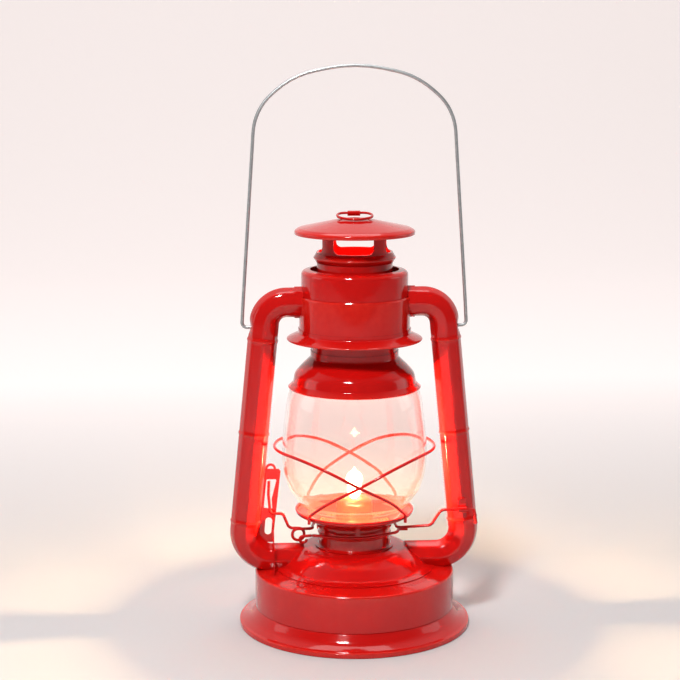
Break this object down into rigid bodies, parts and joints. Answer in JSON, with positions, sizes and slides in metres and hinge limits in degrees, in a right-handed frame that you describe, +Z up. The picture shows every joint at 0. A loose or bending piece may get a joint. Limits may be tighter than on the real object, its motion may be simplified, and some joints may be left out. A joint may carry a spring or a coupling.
{
  "type": "tubular hurricane lantern",
  "caption": "Red enamelled tubular oil lantern with glass globe, wire guard, lift lever, sprung chimney with finger ring, and wire bail.",
  "frame": {"origin": "on the floor, at the middle of the foot", "axes": "+Z up, the air tubes stand along X with the latch plate at -X, the front is -Y"},
  "size_m": [0.1808, 0.1678, 0.4041],
  "materials": {
    "red_enamel": "gloss stoved enamel on tinplate",
    "bare_steel": "plain drawn steel",
    "burner_brass": "pressed brass",
    "galvanised_wire": "dull zinc coated wire",
    "clear_glass": "clear blown glass",
    "cotton_wick": "woven cotton",
    "seal_rubber": "soft seal"
  },
  "bodies": {
    "frame": {"fount_shell": "red_enamel", "fount_floor": "bare_steel", "air_dome": "red_enamel", "foot_skirt": "red_enamel", "filler_neck": "red_enamel", "burner_collar": "red_enamel", "burner_socket": "burner_brass", "burner_body": "burner_brass", "air_plate": "burner_brass", "burner_cone": "burner_brass", "wick_guide": "burner_brass", "left_air_tube": "red_enamel", "right_air_tube": "red_enamel", "left_tube_socket": "red_enamel", "right_tube_socket": "red_enamel", "hood_shell": "red_enamel", "hood_cover": "red_enamel", "hood_flange": "red_enamel", "lever_guide": "red_enamel", "lever_clip": "red_enamel", "clip_rivets": "red_enamel", "chimney_spring": "bare_steel"},
    "bail": {"bail": "galvanised_wire"},
    "lift_lever": {"lift_lever": "red_enamel", "lever_hoop": "red_enamel"},
    "globe_carriage": {"globe_plate": "red_enamel", "guard_wire_left": "red_enamel", "guard_wire_right": "red_enamel", "globe": "clear_glass"},
    "chimney": {"bell": "red_enamel", "chimney_tube": "red_enamel", "spring_ledge": "red_enamel", "chimney_ring": "red_enamel", "crown": "red_enamel", "cap": "red_enamel", "ring_strap": "red_enamel"},
    "lift_ring": {"lift_ring": "red_enamel"},
    "filler_seal": {"filler_seal": "seal_rubber"},
    "filler_cap": {"filler_cap": "red_enamel"},
    "wick_winder": {"wick_shaft": "bare_steel", "wick_wheels": "bare_steel", "wick_knob": "burner_brass"},
    "wick": {"wick": "cotton_wick"}
  },
  "joints": [
    {"name": "bail_swing", "type": "hinge", "parent": "frame", "child": "bail", "pos_m": [0, 0, 0.2188], "axis": [1, 0, 0], "range_deg": [-148, 148]},
    {"name": "lever_lift", "type": "hinge", "parent": "frame", "child": "lift_lever", "pos_m": [0.0771, -0.0133, 0.0857], "axis": [0, 1, 0], "range_deg": [0, 6]},
    {"name": "globe_lift", "type": "slide", "parent": "frame", "child": "globe_carriage", "axis": [0, 0, 1], "range_m": [0, 0.0082]},
    {"name": "chimney_lift", "type": "slide", "parent": "globe_carriage", "child": "chimney", "axis": [0, 0, 1], "range_m": [0, 0.008], "stiffness_N_per_m": 150, "springref_m": -0.02, "deforming": ["chimney_spring"]},
    {"name": "ring_fold", "type": "hinge", "parent": "chimney", "child": "lift_ring", "pos_m": [0, 0.0076, 0.2991], "axis": [1, 0, 0], "range_deg": [-100, 0]},
    {"name": "filler_rise", "type": "slide", "parent": "frame", "child": "filler_seal", "axis": [0, 0, 1], "range_m": [0, 0.0041]},
    {"name": "filler_turn", "type": "hinge", "parent": "filler_seal", "child": "filler_cap", "pos_m": [-0.012, 0.0578, 0.056], "axis": [0, 0, 1], "range_deg": [0, 720]},
    {"name": "wick_winding", "type": "hinge", "parent": "frame", "child": "wick_winder", "pos_m": [0.00444, -0.00119, 0.0645], "axis": [0.2588, 0.9659, 0], "range_deg": [-90, 60]},
    {"name": "wick_rise", "type": "slide", "parent": "frame", "child": "wick", "axis": [0, 0, 1], "range_m": [-0.0052, 0.0036]}
  ],
  "couplings": [
    {"joint": "globe_lift", "follows": "lever_lift", "m_per_rad": 0.0771},
    {"joint": "filler_rise", "follows": "filler_turn", "m_per_rad": 0.000318},
    {"joint": "wick_rise", "follows": "wick_winding", "m_per_rad": 0.0032}
  ]
}
